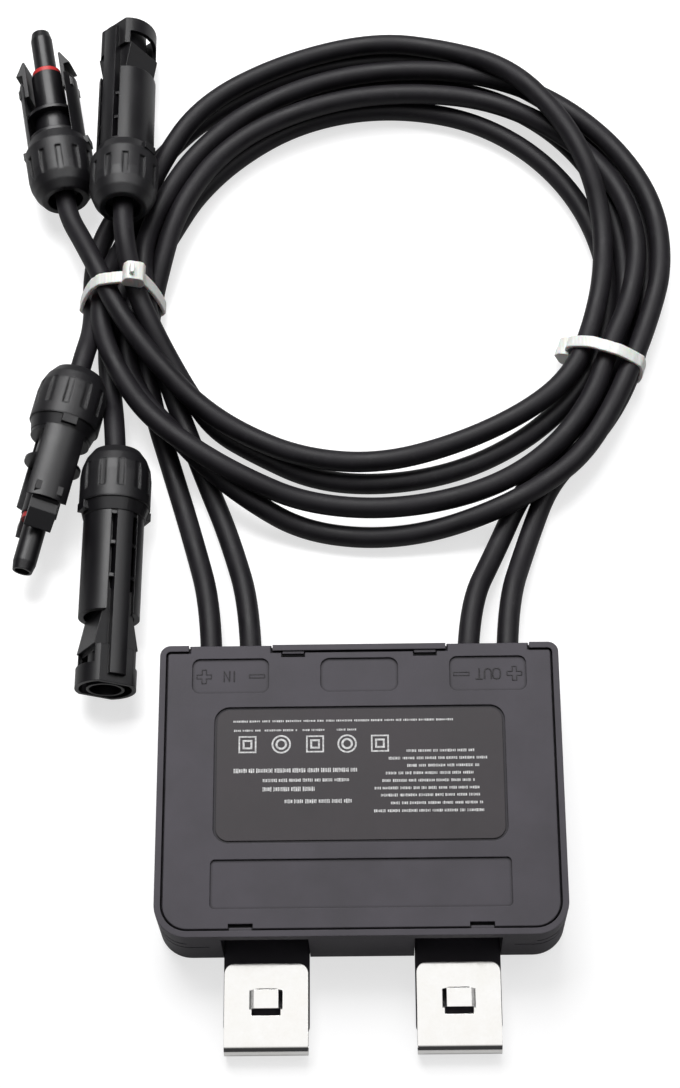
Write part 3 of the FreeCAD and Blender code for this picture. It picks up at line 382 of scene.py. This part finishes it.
def spring_steel():
    # Rolled and polished strip: mirror finish with faint rolling lines and a few handling marks
    s = Surface("steel", 0.1, Metallic=1.0)
    lines = s.noise(0.5, 3.0, 0.6, (8.0, 0.4, 8.0))
    marks = s.noise(7.0, 5.0, 0.7)
    soft = s.edges(0.15)[1]
    s.colour(s.mix(s.ramp(marks, 0.35, 0.7), linear(253, 252, 250), linear(246, 244, 240)))
    s.rough(s.math("ADD", s.ramp(marks, 0.4, 0.7, 0.05, 0.12), s.ramp(lines, 0.3, 0.7, -0.02, 0.03)))
    s.normal(s.bump(lines, 0.004, soft))
    return s.mat


def metal(name, bright, dull, rough):
    # Matt or tinned metal with cloudy stain and fine pits
    s = Surface(name, rough, Metallic=1.0)
    stain = s.noise(3.5, 5.0, 0.65)
    pits = s.noise(0.3, 2.0)
    s.colour(s.mix(s.ramp(stain, 0.35, 0.65), linear(*bright), linear(*dull)))
    s.rough(s.math("ADD", s.ramp(stain, 0.35, 0.65, rough - 0.06, rough + 0.1),
                   s.ramp(pits, 0.3, 0.7, -0.03, 0.03)))
    s.normal(s.bump(pits, 0.008))
    return s.mat


def solder_mask():
    # Green board lacquer with faint raised copper runs
    s = Surface("board", 0.32, Coat_Weight=0.4)
    runs = s.add("ShaderNodeTexBrick")
    runs.inputs["Scale"].default_value = 160.0
    runs.inputs["Mortar Size"].default_value = 0.03
    s.link(s.place, runs.inputs["Vector"])
    clouds = s.noise(12.0, 3.0)
    ground = s.mix(s.ramp(clouds, 0.3, 0.7), linear(22, 74, 44), linear(30, 92, 54))
    s.colour(s.mix(runs.outputs["Fac"], ground, linear(64, 128, 78)))
    s.rough(s.ramp(clouds, 0.3, 0.7, 0.26, 0.4))
    s.normal(s.bump(runs.outputs["Fac"], 0.03))
    return s.mat


def tie_nylon():
    # Natural nylon: slightly translucent ivory with fine cross ribs
    s = Surface("tie_nylon", 0.34, Subsurface_Weight=0.25, Subsurface_Scale=0.002)
    clouds = s.noise(5.0, 3.0)
    ribs = s.add("ShaderNodeTexWave", wave_type="BANDS", bands_direction="X")
    ribs.inputs["Scale"].default_value = 320.0
    s.link(s.place, ribs.inputs["Vector"])
    s.colour(s.mix(s.ramp(clouds, 0.3, 0.7), linear(248, 248, 246), linear(240, 239, 232)))
    s.rough(s.ramp(clouds, 0.3, 0.7, 0.28, 0.42))
    s.normal(s.bump(ribs.outputs["Fac"], 0.05, s.edges(0.25)[1], 0.6))
    return s.mat


def white_print():
    # White ink on the label, worn thin in places
    s = Surface("print", 0.5)
    worn = s.noise(0.8, 4.0, 0.7)
    s.colour(s.mix(s.ramp(worn, 0.4, 0.7, 0.0, 0.75), linear(226, 226, 226), linear(120, 118, 120)))
    s.rough(s.ramp(worn, 0.3, 0.7, 0.45, 0.6))
    s.normal(s.bump(worn, 0.01))
    return s.mat


def make_cords(material):
    # The four cables, each with the pieces of the connector on its end
    for name, points, length, plug, extra in CORDS:
        cable = cord_curve("cable_" + name, points, material)
        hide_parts("lead_" + name, "tail_" + plug)
        if name == "in_plus":
            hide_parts("cable_ring")


def make_tie(name, middle, turn, strands, head_turn, material):
    # Cable tie: a strap pulled tight round the strands, its locking head and the cut end in it
    turn = math.radians(turn)
    across = Vector((math.cos(turn), math.sin(turn), 0.0))
    along = Vector((-math.sin(turn), math.cos(turn), 0.0))
    centre = Vector((middle[0], middle[1], 0.0))
    mesh = bpy.data.meshes.new(name + "_strap")
    work = bmesh.new()

    def at(x, z, y):
        # Corner of the mesh, from millimetres across, up and along the strands
        return work.verts.new((centre + across * x + along * y + Vector((0.0, 0.0, z))) * MM)

    def rim(angle, out):
        # Point of the strap's loop in that direction, so far out of the strands
        dx, dz = math.cos(angle), math.sin(angle)
        x = z = 0.0
        for k in range(-TIE_BOW, TIE_BOW + 1):
            near_angle = angle + TIE_BOW_TURN * k
            ux, uz = math.cos(near_angle), math.sin(near_angle)
            near = max(strands, key=lambda p: p[0] * ux + p[1] * uz)
            x, z = x + near[0] / (2 * TIE_BOW + 1), z + near[1] / (2 * TIE_BOW + 1)
        return x + (CABLE_D / 2 + out) * dx, z + (CABLE_D / 2 + out) * dz

    half = TIE_W / 2
    rings = []
    for k in range(TIE_STEPS):
        angle = 2 * math.pi * k / TIE_STEPS
        inner, outer = rim(angle, TIE_GAP), rim(angle, TIE_GAP + TIE_T)
        rings.append([at(*inner, -half), at(*outer, -half), at(*outer, half), at(*inner, half)])
    for k, ring in enumerate(rings):
        after = rings[(k + 1) % TIE_STEPS]
        for j in range(4):
            work.faces.new((ring[j], ring[j - 1], after[j - 1], after[j]))
    angle = math.radians(head_turn)
    foot, up = rim(angle, TIE_GAP - TIE_HEAD_SINK), (math.cos(angle), math.sin(angle))
    side = (up[1], -up[0])
    for outline, reach in ((TIE_HEAD, TIE_HEAD_L / 2), (TIE_END, half - TIE_END_IN)):
        ends = [[at(foot[0] + side[0] * u + up[0] * v, foot[1] + side[1] * u + up[1] * v, y)
                 for u, v in outline] for y in (-reach, reach)]
        work.faces.new(ends[0])
        work.faces.new(ends[1][::-1])
        for j in range(len(outline)):
            work.faces.new((ends[0][j], ends[0][j - 1], ends[1][j - 1], ends[1][j]))
    bmesh.ops.recalc_face_normals(work, faces=work.faces)
    for face in work.faces:
        face.smooth = True
    work.to_mesh(mesh)
    work.free()
    mesh.materials.append(material)
    tie = bpy.data.objects.new(name + "_strap", mesh)
    scene.collection.objects.link(tie)
    soft = tie.modifiers.new("edges", "BEVEL")
    soft.width, soft.segments, soft.limit_method = TIE_SOFT * MM, 3, "ANGLE"
    soft.angle_limit = math.radians(40)
    soft.harden_normals = True
    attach(tie, "root")
    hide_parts(name)


def make_ties(material):
    # Both cable ties
    for name, middle, turn, strands, head_turn in TIES:
        make_tie(name, middle, turn, strands, head_turn, material)


def dress(names, material):
    # Gives those solids that material
    for name in names:
        for place in NODES[name].material_slots:
            place.material = material


def dress_nodes():
    # Materials of the solids
    def ends(*tails):
        return [n for n in NODES if n.endswith(tails)]

    dress(("case_tub", "case_lid"), moulded("case_plastic", (75, 72, 78), 0.55, Specular_IOR_Level=0.22))
    shell = moulded("connector_plastic", (16, 15, 18), 0.38, grain=0.3, depth=0.01, wear_and_glint=0.45)
    dress(ends("_housing"), shell)
    nuts = moulded("nut_plastic", (19, 18, 21), 0.44, grain=0.3, depth=0.012, wear_and_glint=0.5, edge=0.9)
    dress(ends("_nut"), nuts)
    rubber = moulded("black_rubber", (34, 34, 35), 0.65)
    dress(ends("_seal", "_gasket") + [n for n in NODES if n.startswith("grommet")], rubber)
    dress(ends("_nose_ring"), moulded("red_rubber", (200, 42, 42), 0.45))
    film = moulded("label", (59, 55, 58), 0.47, grain=0.5, depth=0.006, wear_and_glint=0.25, edge=0.2,
                   Specular_IOR_Level=0.22)
    dress(("label_plate",), film)
    dress(("clip_left", "clip_right", "board_screws"), spring_steel())
    dress(("heat_spreader", "capacitors"), metal("aluminium", (206, 208, 210), (182, 184, 188), 0.36))
    dress(ends("_contact", "_lugs"), metal("tinned_brass", (214, 209, 192), (188, 178, 150), 0.28))
    dress(("circuit_board",), solder_mask())
    dress(("thermal_pad",), moulded("thermal_pad", (140, 152, 168), 0.7, grain=0.4, wear_and_glint=0.2, edge=0.2))
    dress(("inductors",), moulded("ferrite", (48, 46, 45), 0.6, grain=0.5, depth=0.03, wear_and_glint=0.5, edge=0.2))
    chips = moulded("chip_black", (30, 30, 31), 0.4, grain=0.25, depth=0.008, wear_and_glint=0.2, edge=0.1)
    dress(("power_switches", "control_chip"), chips)


def strokes(name, lines, height, thick, material, closed=False):
    # Thin raised lines along poly lines of millimetre points, all at one height
    curve = bpy.data.curves.new(name, "CURVE")
    curve.dimensions = "3D"
    for points in lines:
        line = curve.splines.new("POLY")
        line.points.add(len(points) - 1)
        for target, (x, y) in zip(line.points, points):
            target.co = (x * MM, y * MM, height * MM, 1.0)
        line.use_cyclic_u = closed
    curve.bevel_depth = thick / 2 * MM
    curve.bevel_resolution = 2
    curve.materials.append(material)
    mark = bpy.data.objects.new(name, curve)
    scene.collection.objects.link(mark)
    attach(mark, "root")


def turned(points, x, y, size):
    # Points of a sign drawn about its own middle, set to read from the leads' side
    return [(x - px * size, y - py * size) for px, py in points]


def bar(x0, x1, y, height):
    # Corners of an upright rectangle whose middle line is at y
    return [(x0, y - height / 2), (x1, y - height / 2), (x1, y + height / 2), (x0, y + height / 2)]


def plus_outline(half, arm):
    # Outline of a plus, from half its length and half an arm's width
    quarter = ((arm, half), (arm, arm), (half, arm))
    points = []
    for k in range(4):
        c, s = round(math.cos(k * math.pi / 2)), round(math.sin(k * math.pi / 2))
        points += [(px * c + py * s, py * c - px * s) for px, py in quarter]
    return points


def oval(half_w, half_h, steps=20):
    # Rounded letter O that ends where it begins
    turns = [2 * math.pi * k / steps for k in range(steps)] + [0.0]
    return [(half_w * math.copysign(abs(math.cos(a)) ** 0.7, math.cos(a)),
             half_h * math.copysign(abs(math.sin(a)) ** 0.7, math.sin(a))) for a in turns]


def field_marks(material):
    # Generic marks in the fields over the leads
    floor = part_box("label_plate")[0][2] / MM
    plus = plus_outline(PLUS_HALF, PLUS_ARM)
    minus = bar(-MINUS_HALF, MINUS_HALF, 0.0, 2 * MINUS_ARM)
    letters = dict(LETTERS, O=(oval(O_WIDTH, 1.0),))
    for side, word, gap in FIELD_WORDS:
        name = "mark_" + word.lower()
        x = side * FIELD_X
        for tail, outline, reach in (("_plus", plus, SIGN_X), ("_minus", minus, -SIGN_X)):
            sign = turned(outline, x + side * reach, FIELD_Y, 1.0)
            strokes(name + tail, [sign], floor, SIGN_LINE, material, True)
        lines = []
        for k, letter in enumerate(word):
            middle = x - (k - (len(word) - 1) / 2) * gap
            lines += [turned(line, middle, FIELD_Y, LETTER_HALF) for line in letters[letter]]
        strokes(name, lines, floor, LETTER_LINE, material)


def flat_shapes(name, outlines, height, material):
    # Flat printed shapes a hair above the label
    mesh = bpy.data.meshes.new(name)
    work = bmesh.new()
    for outline in outlines:
        work.faces.new([work.verts.new((x * MM, y * MM, height * MM)) for x, y in outline])
    for face in work.faces:
        if face.normal.z < 0:
            face.normal_flip()
    work.to_mesh(mesh)
    work.free()
    mesh.materials.append(material)
    shape = bpy.data.objects.new(name, mesh)
    scene.collection.objects.link(shape)
    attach(shape, "root")


def words(x0, x1, y, height, seed):
    # A row of plain bars: fine uprights in groups of uneven length
    rng = random.Random(seed)
    row, x = [], x0
    while x < x1 - ROW_SPARE:
        stop = min(x + rng.uniform(*GROUP_LENGTH), x1)
        while x < stop:
            width = rng.uniform(*BAR_WIDTH)
            row.append(bar(x, x + width, y, height * rng.uniform(*BAR_SHARE)))
            x += width + rng.uniform(*BAR_SPACE)
        x += rng.uniform(*GROUP_SPACE)
    return row


def ring_quads(x, y, outer, inner, steps=36):
    # A flat ring in small quads
    quads = []
    for k in range(steps):
        a, b = 2 * math.pi * k / steps, 2 * math.pi * (k + 1) / steps
        quads.append([(x + r * math.cos(t), y + r * math.sin(t))
                      for r, t in ((inner, a), (outer, a), (outer, b), (inner, b))])
    return quads


def square_bars(x, y, half, line):
    # A square frame of four bars
    reach = 2 * (half - line)
    return [bar(x - half, x + half, y + half - line / 2, line),
            bar(x - half, x + half, y - half + line / 2, line),
            bar(x - half, x - half + line, y, reach), bar(x + half - line, x + half, y, reach)]


def label_print(material):
    # Rows of bars and a line of simple signs on the label
    low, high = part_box("label_plate")
    top = high[2] / MM + PRINT_LIFT
    x0, y0 = ((low[k] + high[k]) / 2 / MM for k in (0, 1))
    shapes = []
    for k, (start, end, rise, height) in enumerate(PRINT_ROWS):
        shapes += words(x0 + start, x0 + end, y0 + rise, height, k)
    for k, middle in enumerate(ICON_X):
        draw, sizes = (ring_quads, ICON_ROUND) if k % 2 else (square_bars, ICON_SQUARE)
        for outer, inner in sizes:
            shapes += draw(x0 + middle, y0 + ICON_Y, outer, inner)
    flat_shapes("label_print", shapes, top, material)


def make_stage():
    # Pale table with a soft shadow on it
    s = Surface("table", 0.3)
    s.colour(s.mix(s.noise(200.0), *(linear(*tone) for tone in TABLE_TONES)))
    path = s.add("ShaderNodeLightPath").outputs
    mirrored = s.math("MULTIPLY", path["Is Glossy Ray"], TABLE_IN_GLOSS)
    seen = s.math("MAXIMUM", path["Is Camera Ray"], s.math("MAXIMUM", mirrored, path["Is Transmission Ray"]))
    s.shader.inputs["Emission Color"].default_value = WHITE
    s.link(s.math("MULTIPLY", seen, TABLE_GLOW), s.shader.inputs["Emission Strength"])
    mesh = bpy.data.meshes.new("table")
    corners = ((-1, -1), (1, -1), (1, 1), (-1, 1))
    mesh.from_pydata([(x * TABLE_HALF, y * TABLE_HALF, 0) for x, y in corners], [], [(0, 1, 2, 3)])
    mesh.materials.append(s.mat)
    table = bpy.data.objects.new("table", mesh)
    table.location.z = -TABLE_DROP
    scene.collection.objects.link(table)


def make_light():
    # White backdrop, a bright ceiling that gloss and metal see, a dimmer even fill, and the lamps
    world = bpy.data.worlds.new("studio")
    scene.world = world
    world.use_nodes = True
    g = Graph(world.node_tree)
    path = g.add("ShaderNodeLightPath").outputs
    height = g.add("ShaderNodeSeparateXYZ")
    g.link(g.add("ShaderNodeTexCoord").outputs["Generated"], height.inputs[0])
    rise = g.ramp(height.outputs["Z"], CEILING_FROM, CEILING_TO, interpolation_type="SMOOTHSTEP")
    unseen = g.mix(path["Is Glossy Ray"], FILL, g.mix(rise, GLOSS_LOW, WHITE))
    seen = g.math("MAXIMUM", path["Is Camera Ray"], path["Is Transmission Ray"])
    g.link(g.mix(seen, unseen, WHITE), g.tree.nodes["Background"].inputs["Color"])
    for name, place, size, power in LAMPS:
        data = bpy.data.lights.new(name, "AREA")
        data.shape = "SQUARE"
        data.size = size
        data.energy = power
        lamp = bpy.data.objects.new(name, data)
        scene.collection.objects.link(lamp)
        lamp.location = place
        lamp.rotation_euler = (Vector(LAMPS_AIM) - Vector(place)).to_track_quat("-Z", "Y").to_euler()


make_camera()
make_cords(cable_jacket())
make_ties(tie_nylon())
dress_nodes()
field_marks(moulded("mark_plastic", (40, 38, 41), 0.55, depth=0.01, wear_and_glint=0.2, edge=0.1))
label_print(white_print())
make_stage()
make_light()
